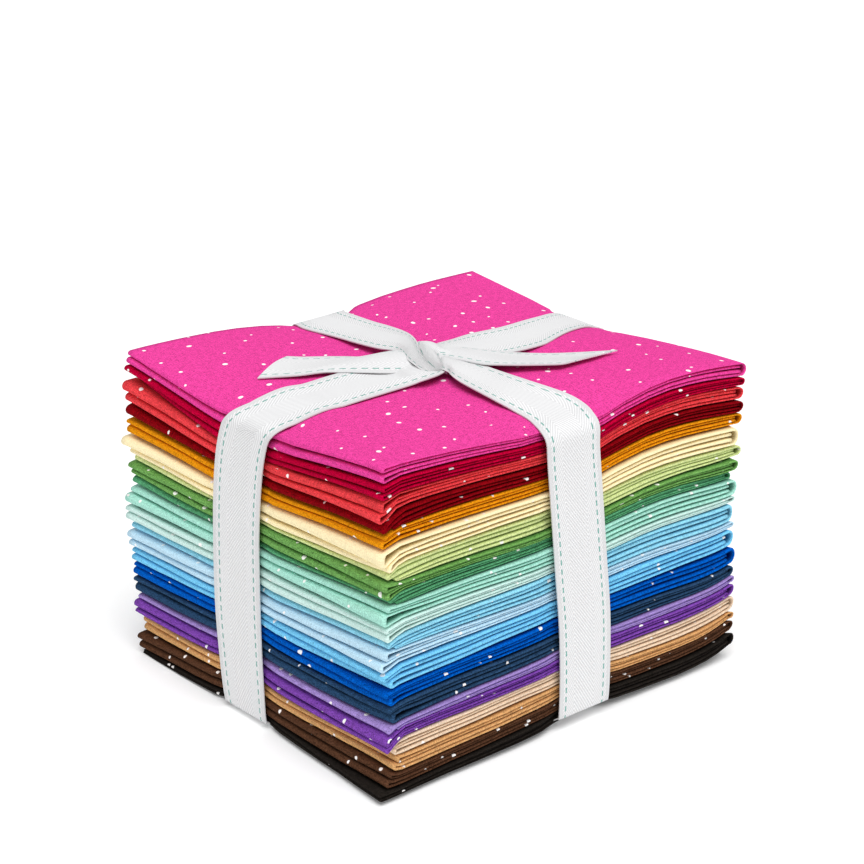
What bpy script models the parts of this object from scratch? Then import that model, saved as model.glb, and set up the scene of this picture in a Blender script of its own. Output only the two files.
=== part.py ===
"""A fat quarter bundle: 22 folded cotton quarters, tied both ways with one twill ribbon.

Each quarter is folded in four along its length into a strip. Both ends of the strip are folded to its
middle, and the strip is folded in half there, so its section goes back and forth four times.
"""

import math
from collections import namedtuple

import bmesh
import bpy

MM = 0.001

# Driving dimensions in millimetres. X runs along the strip, Y across it, and Z is up.
STACK_X = 138.0
STACK_Y = 123.0
SHEET = 1.0                 # the strip: four layers of pressed cotton
LAYER_GAP = 0.05            # between two runs of one strip, where the ribbon presses the stack
PIECE_GAP = 0.3             # between two quarters there
CORNER_RISE = 2.5           # the top corners stand above the pressed middle
RIBBON = 1.0                # thickness of the ribbon
RIBBON_WIDTH = 22.0
PRESSED_X = 18.0            # half the width of the strip of cloth that the ribbon presses down
PRESSED_Y = 19.0
SHOULDER = 6.0              # radius to which the ribbon pulls the top edges in
FOOT = 3.0                  # and the bottom edges
FLAT_FROM = 30.0            # the underside lies flat from here out to its corners
FOLD_REACH = 1.0            # a fold's outer face beyond the run it turns
CENTRE_REACH = 2.2          # the same for the fold that wraps the two tucked ends
END_CLEARANCE = 3.0         # the tucked ends stop short of that fold

FOLD_STEPS = 2              # points on a small fold, between the runs
CENTRE_STEPS = 3
ROUND_STEPS = 4             # pieces of a rounded corner of the ribbon

# One row for each quarter, from the top down. The insets are in millimetres: the two folds at -X,
# the centre fold at +X, and the long edges at -Y (near) and +Y (far).
Quarter = namedtuple("Quarter", "name colour upper_fold lower_fold centre_fold near far")
QUARTERS = (
    Quarter("hot_pink", "E83E98", 0.5, 1.0, 0.0, 0.4, 1.0),
    Quarter("cerise", "C2003F", 0.3, 1.2, 0.5, 0.8, 0.3),
    Quarter("coral", "E04848", 0.0, 0.4, 1.0, 0.2, 0.0),
    Quarter("dark_red", "8C0016", 2.6, 3.0, 0.8, 1.2, 0.6),
    Quarter("gold", "F09A0A", 1.0, 0.8, 1.0, 0.9, 0.2),
    Quarter("cream", "FBE4AE", 0.0, 0.6, 2.0, 0.0, 0.0),
    Quarter("lime", "CDE18C", 4.0, 4.6, 0.4, 0.8, 1.2),
    Quarter("green", "64A555", 0.8, 1.0, 2.2, 0.3, 0.4),
    Quarter("emerald", "3E9E76", 3.4, 4.2, 4.0, 1.0, 1.0),
    Quarter("mint", "8FD6BA", 0.2, 0.0, 2.0, 0.0, 0.2),
    Quarter("pale_mint", "CDE8DE", 0.6, 0.8, 2.4, 0.5, 0.0),
    Quarter("steel_blue", "5FA5C8", 3.0, 3.6, 2.6, 1.0, 1.4),
    Quarter("pale_blue", "C3DEF2", 0.2, 0.9, 1.8, 0.2, 0.2),
    Quarter("sky_blue", "5FB4EB", 1.2, 1.0, 2.0, 0.4, 1.0),
    Quarter("royal_blue", "0055C8", 0.8, 1.2, 1.2, 0.7, 0.6),
    Quarter("navy", "23415F", 1.0, 0.7, 2.2, 0.3, 0.8),
    Quarter("lavender", "A57DD2", 4.4, 4.8, 2.4, 1.1, 1.0),
    Quarter("purple", "783CAF", 1.1, 0.9, 1.6, 0.3, 0.3),
    Quarter("beige", "E1C8A5", 4.8, 5.2, 1.2, 0.9, 1.6),
    Quarter("tan", "CD9B5F", 1.6, 1.4, 1.0, 0.2, 1.4),
    Quarter("brown", "553728", 0.9, 0.6, 1.6, 0.6, 0.6),
    Quarter("black", "23211E", 0.6, 0.4, 1.4, 0.5, 1.0),
)

# The four runs of a strip, in the order in which the cloth goes. The rank counts from the bottom,
# and near and far are what this run falls short of the quarter's own edges.
Run = namedtuple("Run", "rank near far")
FIRST_END = Run(2, 0.5, 0.3)
TOP = Run(3, 0.0, 0.2)
BOTTOM = Run(0, 0.3, 0.0)
LAST_END = Run(1, 0.2, 0.5)

RUN_PITCH = SHEET + LAYER_GAP
PIECE_THICKNESS = 3 * RUN_PITCH + SHEET
PIECE_PITCH = PIECE_THICKNESS + PIECE_GAP
STACK_LEVELS = len(QUARTERS) * PIECE_PITCH - PIECE_GAP
CHANNEL = RIBBON + PIECE_GAP
PRESSED_TOP = CHANNEL + STACK_LEVELS

# The ribbon's centreline on the faces of the stack, and the radii of its corners.
LINE_X = STACK_X / 2 + PIECE_GAP + RIBBON / 2
LINE_Y = STACK_Y / 2 + PIECE_GAP + RIBBON / 2
LINE_TOP = PRESSED_TOP + PIECE_GAP + RIBBON / 2
LINE_BOTTOM = RIBBON / 2
TURN_TOP = SHOULDER + PIECE_GAP + RIBBON / 2
TURN_BOTTOM = FOOT

# A ribbon's stations in millimetres: along its way, height, sideways place, width, corner radius.
Station = namedtuple("Station", "along height side width turn")
WAY_ALONG_X = (
    Station(2.0, LINE_TOP + 4.2, -5.0, 9.0, 0.0),
    Station(22.0, LINE_TOP + 2.0, -4.0, 16.0, 0.0),
    Station(46.0, LINE_TOP + 0.5, -1.0, 18.0, 0.0),
    Station(LINE_X, LINE_TOP, 7.0, RIBBON_WIDTH, TURN_TOP),
    Station(LINE_X, LINE_BOTTOM, 6.0, RIBBON_WIDTH, TURN_BOTTOM),
    Station(-LINE_X, LINE_BOTTOM, 5.0, RIBBON_WIDTH, TURN_BOTTOM),
    Station(-LINE_X, STACK_LEVELS / 2, 7.0, RIBBON_WIDTH, 0.0),
    Station(-LINE_X, LINE_TOP, 2.0, RIBBON_WIDTH, TURN_TOP),
    Station(-46.0, LINE_TOP + 0.5, -5.0, 20.0, 0.0),
    Station(-24.0, LINE_TOP + 2.0, -10.0, 14.0, 0.0),
    Station(-12.0, LINE_TOP + 4.0, -9.0, 9.0, 0.0),
)
WAY_ALONG_Y = (
    Station(-10.0, LINE_TOP + 4.0, -9.0, 9.0, 0.0),
    Station(-24.0, LINE_TOP + 2.0, -7.0, 16.0, 0.0),
    Station(-44.0, LINE_TOP + 0.5, -5.0, 20.0, 0.0),
    Station(-LINE_Y, LINE_TOP, -4.0, RIBBON_WIDTH, TURN_TOP),
    Station(-LINE_Y, STACK_LEVELS / 2, 3.0, RIBBON_WIDTH, 0.0),
    Station(-LINE_Y, LINE_BOTTOM, 5.0, RIBBON_WIDTH, TURN_BOTTOM),
    Station(LINE_Y, LINE_BOTTOM, 3.0, RIBBON_WIDTH, TURN_BOTTOM),
    Station(LINE_Y, LINE_TOP, 2.0, RIBBON_WIDTH, TURN_TOP),
    Station(42.0, LINE_TOP + 0.5, 0.5, 17.0, 0.0),
    Station(18.0, LINE_TOP + 2.4, -2.0, 12.0, 0.0),
    Station(0.0, LINE_TOP + 4.4, -6.0, 9.0, 0.0),
)

# A free end's stations: the middle of the ribbon, its width, the way across it and the rise across it.
EndStation = namedtuple("EndStation", "x y height width across rise")
LEFT_END = (
    EndStation(-8.0, -2.0, LINE_TOP + 4.6, 8.0, 95.0, 0.0),
    EndStation(-24.0, 3.0, LINE_TOP + 4.0, 15.0, 70.0, -1.0),
    EndStation(-38.0, 11.0, LINE_TOP + 3.0, 20.0, 62.0, -2.0),
    EndStation(-49.5, 18.0, LINE_TOP + 2.2, 23.5, 45.0, -2.2),
)
RIGHT_END = (
    EndStation(-4.0, -6.0, LINE_TOP + 4.6, 8.0, 60.0, 0.0),
    EndStation(5.0, -20.0, LINE_TOP + 5.0, 15.0, 45.0, -2.0),
    EndStation(12.0, -30.0, LINE_TOP + 4.9, 20.0, 40.0, -2.5),
    EndStation(25.0, -41.0, LINE_TOP + 4.6, 26.0, 11.0, -2.5),
)

KNOT_AT = (-8.0, -5.0, LINE_TOP + 4.4)
KNOT_SIZE = (25.0, 17.0, 9.0)
KNOT_TURN = -35.0
KNOT_SEGMENTS = 14
KNOT_RINGS = 7

CLOTH_ROUGHNESS = 0.85
RIBBON_COLOUR = "F4F3F0"


def clear_scene():
    """Removes the objects that a new file starts with."""
    for old in list(bpy.data.objects):
        bpy.data.objects.remove(old, do_unlink=True)


def new_collection(name):
    """A collection under the scene's own."""
    made = bpy.data.collections.new(name)
    bpy.context.scene.collection.children.link(made)
    return made


def linear(channel):
    """The linear value of one sRGB channel between 0 and 1."""
    if channel <= 0.04045:
        return channel / 12.92
    return ((channel + 0.055) / 1.055) ** 2.4


def cloth_material(name, colour):
    """A Principled material for cotton of this sRGB colour."""
    material = bpy.data.materials.new(name)
    material.use_nodes = True
    surface = material.node_tree.nodes["Principled BSDF"]
    red, green, blue = (linear(int(colour[at:at + 2], 16) / 255) for at in (0, 2, 4))
    surface.inputs["Base Color"].default_value = (red, green, blue, 1.0)
    surface.inputs["Roughness"].default_value = CLOTH_ROUGHNESS
    surface.inputs["Metallic"].default_value = 0.0
    material.diffuse_color = (red, green, blue, 1.0)
    return material


def pulled_in(level):
    """How far the ribbon draws an edge in at this level of the stack, along a quarter round."""
    below_top = max(STACK_LEVELS - level - SHEET / 2, 0.0)
    above_foot = max(level - SHEET / 2, 0.0)
    pull = 0.0
    if below_top < SHOULDER:
        pull += SHOULDER - math.sqrt(SHOULDER ** 2 - (SHOULDER - below_top) ** 2)
    if above_foot < FOOT:
        pull += FOOT - math.sqrt(FOOT ** 2 - (FOOT - above_foot) ** 2)
    return pull


def corner_share(x, y):
    """0 where the ribbon presses the stack, growing to 1 at its corners."""
    along = max(abs(x) - PRESSED_X, 0.0) / (STACK_X / 2 - PRESSED_X)
    across = max(abs(y) - PRESSED_Y, 0.0) / (STACK_Y / 2 - PRESSED_Y)
    return min(along, across)


def height_of(level, x, y):
    """The height of a level of the stack, above the ribbon's channel and below the pressed top."""
    share = corner_share(x, y)
    low = CHANNEL * (1 - share)
    high = PRESSED_TOP + CORNER_RISE * share
    return low + (high - low) * level / STACK_LEVELS


def foot_height(x, y):
    """The height of the lowest run: flat on the surface in the corners, over the ribbon between."""
    along = (abs(x) - PRESSED_X) / (FLAT_FROM - PRESSED_X)
    across = (abs(y) - PRESSED_Y) / (FLAT_FROM - PRESSED_Y)
    share = min(max(min(along, across), 0.0), 1.0)
    return SHEET / 2 + CHANNEL * (1 - share)


# A point of a quarter's section: its place along X, its level, its runs' shortfalls, and whether it
# is on the lowest run of the stack.
SectionPoint = namedtuple("SectionPoint", "x level near far lowest")


def run_points(run, base, stations, lowest=False):
    """The section points of one straight run, in the order of its stations."""
    level = base + SHEET / 2 + run.rank * RUN_PITCH
    return [SectionPoint(x, level, run.near, run.far, lowest) for x in stations]


def turn_points(start, end, side, steps):
    """The section points of a fold, on a half circle between the ends of two runs."""
    middle = (start.level + end.level) / 2
    radius = (end.level - start.level) / 2
    points = []
    for step in range(1, steps + 1):
        angle = math.pi * step / (steps + 1)
        share = step / (steps + 1)
        x = start.x + (end.x - start.x) * share + side * abs(radius) * math.sin(angle)
        level = middle - radius * math.cos(angle)
        near = max(start.near, end.near)
        far = max(start.far, end.far)
        points.append(SectionPoint(x, level, near, far, False))
    return points


def section_of(quarter, base, lowest):
    """The back-and-forth section of one quarter, from its first tucked end to its last."""
    upper = -STACK_X / 2 + FOLD_REACH + quarter.upper_fold
    lower = -STACK_X / 2 + FOLD_REACH + quarter.lower_fold
    centre = STACK_X / 2 - CENTRE_REACH - quarter.centre_fold
    tucked = centre - END_CLEARANCE
    pressed = [-PRESSED_X, PRESSED_X]
    if lowest:
        bottom_stations = [centre, FLAT_FROM, PRESSED_X, -PRESSED_X, -FLAT_FROM, lower]
    else:
        bottom_stations = [centre, PRESSED_X, -PRESSED_X, lower]
    first = run_points(FIRST_END, base, [tucked] + pressed[::-1] + [upper])
    top = run_points(TOP, base, [upper] + pressed + [centre])
    bottom = run_points(BOTTOM, base, bottom_stations, lowest)
    last = run_points(LAST_END, base, [lower] + pressed + [tucked])
    return (
        first + turn_points(first[-1], top[0], -1, FOLD_STEPS)
        + top + turn_points(top[-1], bottom[0], 1, CENTRE_STEPS)
        + bottom + turn_points(bottom[-1], last[0], -1, FOLD_STEPS)
        + last
    )


def place(point, quarter, station, stations):
    """The place in millimetres of one section point at one station across the strip."""
    pull = pulled_in(point.level)
    x = point.x
    y = station
    if station in (stations[0], stations[-1]):
        shortfall = quarter.near + point.near if station < 0 else quarter.far + point.far
        if abs(x) <= PRESSED_X:
            shortfall += pull
        y -= math.copysign(shortfall, station)
    elif abs(station) <= PRESSED_Y and abs(x) > FLAT_FROM:
        x -= math.copysign(pull, x)
    if point.lowest:
        return x, y, foot_height(x, y)
    return x, y, height_of(point.level, x, y)


def add_surface(name, rows, material, collection, thickness):
    """An open surface through rows of places, split along like diagonals and solidified."""
    columns = len(rows[0]) - 1
    mesh = bpy.data.meshes.new(name)
    sheet = bmesh.new()
    bmesh.ops.create_grid(sheet, x_segments=columns, y_segments=len(rows) - 1, size=1.0)
    for vertex in sheet.verts:
        column = round((vertex.co.x + 1) / 2 * columns)
        row = round((vertex.co.y + 1) / 2 * (len(rows) - 1))
        vertex.co = [value * MM for value in rows[row][column]]
    for face in list(sheet.faces):
        inner = min(face.verts, key=lambda vertex: vertex.co.xy.length)
        corners = list(face.verts)
        outer = corners[(corners.index(inner) + 2) % 4]
        bmesh.utils.face_split(face, inner, outer)
    sheet.to_mesh(mesh)
    sheet.free()
    made = bpy.data.objects.new(name, mesh)
    mesh.materials.append(material)
    collection.objects.link(made)
    shell = made.modifiers.new("Sheet", "SOLIDIFY")
    shell.thickness = thickness * MM
    shell.offset = 0.0
    shell.use_even_offset = True
    shell.use_quality_normals = True
    return made


def add_quarter(number, quarter, collection):
    """One folded quarter. Number 1 is on top."""
    lowest = number == len(QUARTERS)
    base = (len(QUARTERS) - number) * PIECE_PITCH
    section = section_of(quarter, base, lowest)
    half = STACK_Y / 2
    stations = [-half, -PRESSED_Y, PRESSED_Y, half]
    if lowest:
        stations = [-half, -FLAT_FROM, -PRESSED_Y, PRESSED_Y, FLAT_FROM, half]
    rows = [[place(point, quarter, station, stations) for point in section] for station in stations]
    name = f"quarter_{number:02d}_{quarter.name}"
    material = cloth_material(f"cotton_{quarter.name}", quarter.colour)
    return add_surface(name, rows, material, collection, SHEET)


def blended(first, second, share):
    """The station at this share of the way from one station to another, without a turn."""
    values = [a + (b - a) * share for a, b in zip(first[:4], second[:4])]
    return Station(*values, 0.0)


def rounded_way(way):
    """The ribbon's way with each corner that has a turn replaced by points on its arc."""
    points = []
    for at, station in enumerate(way):
        if station.turn == 0.0:
            points.append(station)
            continue
        before, after = way[at - 1], way[at + 1]
        start = blended(station, before, station.turn / math.dist(station[:2], before[:2]))
        end = blended(station, after, station.turn / math.dist(station[:2], after[:2]))
        for step in range(ROUND_STEPS + 1):
            angle = math.pi / 2 * step / ROUND_STEPS
            to_start = 1 - math.sin(angle)
            to_end = 1 - math.cos(angle)
            values = [
                corner + (a - corner) * to_start + (b - corner) * to_end
                for corner, a, b in zip(station[:4], start[:4], end[:4])
            ]
            points.append(Station(*values, 0.0))
    return points


def add_loop(name, way, runs_along_x, material, collection):
    """One turn of the ribbon round the stack, from the knot and back to it."""
    rows = []
    for side in (-0.5, 0.5):
        row = []
        for station in rounded_way(way):
            across = station.side + side * station.width
            if runs_along_x:
                row.append((station.along, across, station.height))
            else:
                row.append((across, station.along, station.height))
        rows.append(row)
    return add_surface(name, rows, material, collection, RIBBON)


def add_free_end(name, stations, material, collection):
    """One free end of the ribbon, from the knot to its slanted cut."""
    rows = []
    for side in (-0.5, 0.5):
        row = []
        for station in stations:
            reach = side * station.width
            angle = math.radians(station.across)
            row.append((
                station.x + reach * math.cos(angle),
                station.y + reach * math.sin(angle),
                station.height + side * station.rise,
            ))
        rows.append(row)
    return add_surface(name, rows, material, collection, RIBBON)


def add_knot(name, material, collection):
    """The flat body of the knot."""
    mesh = bpy.data.meshes.new(name)
    ball = bmesh.new()
    bmesh.ops.create_uvsphere(
        ball, u_segments=KNOT_SEGMENTS, v_segments=KNOT_RINGS, radius=0.5)
    ball.to_mesh(mesh)
    ball.free()
    made = bpy.data.objects.new(name, mesh)
    mesh.materials.append(material)
    made.location = [value * MM for value in KNOT_AT]
    made.scale = [value * MM for value in KNOT_SIZE]
    made.rotation_euler = (0.0, 0.0, math.radians(KNOT_TURN))
    collection.objects.link(made)
    return made


def add_ribbon(parts, helpers):
    """The whole ribbon as one solid: two turns, the knot and two free ends."""
    material = cloth_material("twill_ribbon", RIBBON_COLOUR)
    ribbon = add_loop("tie_ribbon", WAY_ALONG_X, True, material, parts)
    joined = (
        add_loop("ribbon_along_y", WAY_ALONG_Y, False, material, helpers),
        add_knot("ribbon_knot", material, helpers),
        add_free_end("ribbon_left_end", LEFT_END, material, helpers),
        add_free_end("ribbon_right_end", RIGHT_END, material, helpers),
    )
    for helper in joined:
        helper.hide_render = True
        helper.display_type = "WIRE"
        union = ribbon.modifiers.new(f"With {helper.name}", "BOOLEAN")
        union.operation = "UNION"
        union.solver = "EXACT"
        union.object = helper
    return ribbon


def main():
    clear_scene()
    parts = new_collection("fat_quarter_bundle")
    helpers = new_collection("ribbon_pieces")
    for number, quarter in enumerate(QUARTERS, start=1):
        add_quarter(number, quarter, parts)
    add_ribbon(parts, helpers)


main()
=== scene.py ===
"""The looks of a fat quarter bundle: 22 folded cotton quarters tied both ways with a twill ribbon.

Every quarter is one flat cloth that is folded as by hand: in four across its width, into a strip of four
layers, then both ends of the strip to its middle, and in half there. The ribbon lies on the folded stack.
"""

import math
import random
from collections import namedtuple

import bpy
import numpy as np
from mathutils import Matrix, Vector


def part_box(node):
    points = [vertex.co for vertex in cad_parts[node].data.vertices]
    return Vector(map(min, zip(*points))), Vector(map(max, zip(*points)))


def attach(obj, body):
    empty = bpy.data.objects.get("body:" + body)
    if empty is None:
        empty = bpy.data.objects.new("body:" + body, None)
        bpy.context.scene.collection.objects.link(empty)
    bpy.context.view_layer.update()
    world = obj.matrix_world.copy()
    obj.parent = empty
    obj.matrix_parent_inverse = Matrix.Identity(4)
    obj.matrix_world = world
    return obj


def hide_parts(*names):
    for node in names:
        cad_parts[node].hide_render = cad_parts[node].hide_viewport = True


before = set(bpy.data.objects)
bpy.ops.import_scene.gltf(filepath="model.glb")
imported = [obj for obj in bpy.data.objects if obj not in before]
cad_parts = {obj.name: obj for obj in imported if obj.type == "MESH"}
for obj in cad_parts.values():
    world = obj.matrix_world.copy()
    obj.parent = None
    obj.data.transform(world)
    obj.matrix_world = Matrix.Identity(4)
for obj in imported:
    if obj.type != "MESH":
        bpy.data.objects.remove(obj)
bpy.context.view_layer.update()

MM = 0.001
PI = math.pi

# The folded stack, from the frame, in millimetres. X runs along the folded strips and Y across them.
QUARTER_NODES = sorted(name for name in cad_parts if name.startswith("quarter_"))
BOXES = [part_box(name) for name in QUARTER_NODES]
LEFT = min(low[0] for low, high in BOXES) / MM
RIGHT = max(high[0] for low, high in BOXES) / MM
NEAR = min(low[1] for low, high in BOXES) / MM
FAR = max(high[1] for low, high in BOXES) / MM
MIDDLE_Z = (BOXES[0][1][2] + BOXES[-1][0][2]) / 2 / MM

# A fat quarter, cut, in millimetres.
CUT_ALONG = 546.0
CUT_ACROSS = 457.0
CLOTH = 0.2             # the cotton's thickness
LAYERS = 4              # in a folded strip

# ----- The quarters, from the top down. The heights in millimetres are those that show of each quarter at
# eight places round the stack: on the left face at its far end, on both sides of the ribbon and at the
# front corner, and on the near face just right of that corner, on both sides of the ribbon and at its
# right end.
Quarter = namedtuple(
    "Quarter", "name colour far_end tie_far tie_near corner by_corner tie_left tie_right right_end"
)
QUARTERS = [Quarter(*row) for row in (
    ("hot_pink", "E24398", 4.7, 6.2, 6.4, 5.4, 4.2, 3.1, 4.2, 5.0),
    ("cerise", "B30033", 4.8, 4.8, 3.7, 4.7, 4.5, 3.4, 3.3, 2.9),
    ("coral", "E14147", 7.6, 5.7, 5.1, 6.9, 4.3, 3.2, 3.6, 4.7),
    ("dark_red", "80040F", 4.8, 3.3, 3.2, 3.8, 5.2, 4.4, 3.9, 4.1),
    ("gold", "DE8E10", 5.4, 4.8, 4.1, 3.4, 4.5, 4.2, 4.1, 4.1),
    ("cream", "FCECBF", 6.3, 5.9, 6.2, 8.4, 6.1, 5.8, 6.3, 6.8),
    ("lime", "D1DE9A", 2.5, 1.6, 1.2, 1.4, 5.7, 5.9, 5.8, 3.8),
    ("green", "6C9F55", 4.4, 5.1, 5.8, 6.1, 2.2, 2.2, 2.0, 4.0),
    ("emerald", "559C6F", 3.4, 2.6, 2.0, 0.6, 4.0, 3.3, 2.7, 2.5),
    ("mint", "A7DECE", 6.4, 6.4, 5.8, 6.5, 4.6, 5.5, 6.3, 6.1),
    ("pale_mint", "CAE6E0", 5.4, 5.4, 5.8, 5.1, 3.9, 3.0, 2.4, 2.0),
    ("steel_blue", "8CCFE7", 2.9, 2.5, 2.4, 2.0, 4.7, 6.0, 6.3, 7.0),
    ("pale_blue", "BCDCEE", 5.7, 5.7, 5.6, 6.7, 4.5, 3.2, 3.1, 2.0),
    ("sky_blue", "76C5EC", 5.0, 4.1, 4.7, 5.8, 6.7, 5.8, 5.9, 6.2),
    ("royal_blue", "0057B6", 4.7, 4.6, 4.8, 5.6, 4.6, 4.9, 5.7, 6.7),
    ("navy", "284463", 6.2, 5.7, 5.4, 5.6, 6.2, 5.6, 4.7, 3.7),
    ("lavender", "A087C8", 1.8, 2.9, 3.3, 2.7, 1.5, 2.6, 2.5, 2.4),
    ("purple", "7944A3", 5.2, 4.8, 4.9, 4.9, 3.5, 3.7, 4.6, 4.5),
    ("beige", "E7CEB3", 0.3, 0.2, 0.2, 0.5, 5.6, 4.9, 4.8, 6.3),
    ("tan", "D09F69", 5.9, 4.9, 4.3, 4.9, 5.3, 5.0, 3.8, 2.6),
    ("brown", "523626", 6.4, 6.0, 5.8, 6.1, 4.5, 3.9, 4.0, 4.2),
    ("black", "221E1B", 1.1, 2.5, 2.2, 2.6, 2.4, 4.0, 4.8, 5.3),
)]

# How each quarter is folded, in millimetres. The share is the upper fold's part of the height on the left
# face. A mouth is the opening inside a left fold at the front corner. A reach is how far a fold stands
# out: of the two left folds at the far end, beside the ribbon and at the front corner, and of the centre
# fold at the right end.
Folds = namedtuple(
    "Folds",
    "share upper_mouth lower_mouth far_upper far_lower tie_upper tie_lower "
    "corner_upper corner_lower centre_fold",
)
FOLDS = [Folds(*row) for row in (
    (0.50, 0, 0.9, -0.3, 0, 0, 0, 1.2, 1.2, 1.2),
    (0.52, 0.3, 0.3, 0.6, -2.2, 0, 0, 1.2, 1.2, 1.2),
    (0.56, 3, 1.5, 1.2, 0.9, 0, 0, 1.3, 2, 1.1),
    (0.93, 0, 0, 0.8, -2, -0.3, -3, 0.6, -3, 1),
    (0.35, 0.6, 0.9, 0.9, 0.9, -0.3, 0, -0.4, 1, 1),
    (0.68, 2.4, 2.4, 2.2, 0.3, 0, 0, 2.2, -1, -0.8),
    (0.93, 0.3, 0, -0.7, -4, -0.8, -4, -1, -4, 1.5),
    (0.52, 0.9, 1.2, 0.9, 0.3, 0, 0, 0.3, -0.3, -1.1),
    (0.93, 0, 0, 0, -3, -0.8, -3.5, -1.6, -4, -3.5),
    (0.36, 0.3, 2.7, 0.8, 2.1, 0, 0, -0.6, 1.2, -0.75),
    (0.45, 0, 1.8, 2.1, 2, 0, 0, 0, 0, -0.9),
    (0.93, 0, 0, 0.7, -2, -0.8, -3.5, -0.8, -3.5, -1.55),
    (0.56, 2.1, 1.2, 1.9, 1.4, 0, 0, 0, 1.4, -0.5),
    (0.45, 0, 0.9, 1.1, 1.1, 0, 0, 1, -1.4, -0.5),
    (0.38, 0, 1.8, 0.7, 1, 0, 0, 0, -1.1, 0.55),
    (0.33, 0, 2.4, 0.9, 0.8, 0, 0, -1.1, -1.8, -0.35),
    (0.93, 0, 0, 0.2, -3, -0.6, -3.5, -0.4, -3.5, 0.2),
    (0.62, 1.8, 0, 1.2, 1, 0, 0, 0.3, 0.4, 0.5),
    (0.50, 1.5, 1.5, -5, -5, -5, -5.2, -1.4, -3, 1.8),
    (0.50, 1.5, 0, -0.75, -0.85, -0.5, -0.5, -4, -2.8, 2),
    (0.45, 0, 0, 0.8, 0.5, 0, 0, -1.4, -0.3, 1.6),
    (0.50, 0, 0, -0.4, -0.4, 0, 0, 2.6, 2.6, 1.7),
)]

# The edge of the stack along one side, in millimetres: where the ribbon lies, the height on both sides of
# it, the heights at the side's two corners, how fast the edge rises towards each of them, and how far it
# swells beyond the ribbon, if it does.
Edge = namedtuple(
    "Edge", "tie_start tie_end at_start at_end first_corner last_corner first_rise last_rise swell",
    defaults=(0.0,),
)
TOP_EDGES = {
    "left": Edge(-9, 13, 94.9, 96.0, 100.3, 101.1, 1.4, 1.15),
    "near": Edge(-11, 10, 95.2, 95.2, 100.3, 98.6, 1.6, 2.4, 3.2),
    "right": Edge(-2, 16, 94.7, 95.4, 98.6, 100.0, 1.9, 1.1),
    "far": Edge(-8, 12, 96.5, 96.8, 101.1, 100.0, 2.9, 2.5),
}
BOTTOM_EDGES = {
    "left": Edge(-5, 15, 1.2, 1.0, 0.7, 0.0, 1.5, 1.5),
    "near": Edge(-5, 15, 1.8, 2.5, 1.2, 0.3, 1.3, 1.2),
    "right": Edge(-5, 17, 2.6, 2.6, 0.3, 0.0, 1.6, 1.6),
    "far": Edge(-8, 14, 2.6, 2.6, 0.0, 0.0, 1.6, 1.6),
}
SIDE_ENDS = {"left": (NEAR, FAR), "near": (LEFT, RIGHT), "right": (NEAR, FAR), "far": (LEFT, RIGHT)}
PLATEAU = 100.1         # the top under the crossing ribbons
FIELD_RISE = 0.7        # how much more the four open fields of the top rise
UNDERSIDE = 1.3         # the underside above the crossing ribbons
FIELD_DROP = 1.2        # how much lower the four open fields of the underside lie
FIELD_FADE = 14.0       # how far from the ribbons the fields reach most of that
HALF_PRESSED = 10.0     # half the width that a ribbon presses flat
FACE_DEPTH = 3.0        # how far in a face's heights hold unchanged
EDGE_FADE = 12.0        # how far in from there an edge's height still tells
SHARE_FADE = 7.0        # how far in the uneven heights at the faces even out
CORNER_CURL = 4.4       # the underside's right corner lifts off the floor
CURL_FADE = 10.0


# ----- The shape of the pressed stack

def rise(t, power):
    """From 0 at t = 0 to 1 at t = 1, fastest at the start."""
    return 1 - (1 - np.clip(t, 0, 1)) ** power


def edge_height(edge, s, first, last):
    """Height of a side's edge at the place s along it, between the side's first and last corners."""
    before = rise((edge.tie_start - s) / (edge.tie_start - first), edge.first_rise)
    after = rise((s - edge.tie_end) / (last - edge.tie_end), edge.last_rise)
    under = np.clip((s - edge.tie_start) / (edge.tie_end - edge.tie_start), 0, 1)
    beyond = np.clip((s - edge.tie_end) / (last - edge.tie_end), 0, 1)
    at_tie = edge.at_start + (edge.at_end - edge.at_start) * under
    at_tie = at_tie + edge.swell * np.sin(PI * beyond ** 0.8)
    at_first = before * (edge.first_corner - edge.at_start)
    at_last = after * (edge.last_corner - edge.at_end)
    return at_tie + at_first + at_last


def from_sides(x, y, inside, left, near, right, far, fade):
    """Blends what holds inside the stack with what holds at its four sides, as a patch between curves.

    Each side is a function of the place along it. inside is a function of x and y.
    """
    to_left = np.exp(-np.clip(x - LEFT - FACE_DEPTH, 0, None) / fade)
    to_near = np.exp(-np.clip(y - NEAR - FACE_DEPTH, 0, None) / fade)
    to_right = np.exp(-np.clip(RIGHT - x - FACE_DEPTH, 0, None) / fade)
    to_far = np.exp(-np.clip(FAR - y - FACE_DEPTH, 0, None) / fade)
    end_x = np.full_like(x, LEFT), np.full_like(x, RIGHT)
    end_y = np.full_like(y, NEAR), np.full_like(y, FAR)
    value = inside(x, y)
    for to_side, side, x_end in ((to_left, left, end_x[0]), (to_right, right, end_x[1])):
        value = value + to_side * (side(y) - inside(x_end, y))
    for to_side, side, y_end in ((to_near, near, end_y[0]), (to_far, far, end_y[1])):
        value = value + to_side * (side(x) - inside(x, y_end))
    # the corners were counted twice
    for to_side, side, x_end in ((to_left, left, end_x[0]), (to_right, right, end_x[1])):
        value = value - to_side * to_near * (side(end_y[0]) - inside(x_end, end_y[0]))
        value = value - to_side * to_far * (side(end_y[1]) - inside(x_end, end_y[1]))
    return value


# The middle line of a ribbon on the top: its sideways place at the knot, how much further over it lies at
# the stack's edges, the knot's place along it, and from there to the edges.
MiddleLine = namedtuple("MiddleLine", "at_knot further knot to_edge")
ALONG_LINE = MiddleLine(-11, 14, -5, 68)
ACROSS_LINE = MiddleLine(-7, 8, -10, 60)


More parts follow.
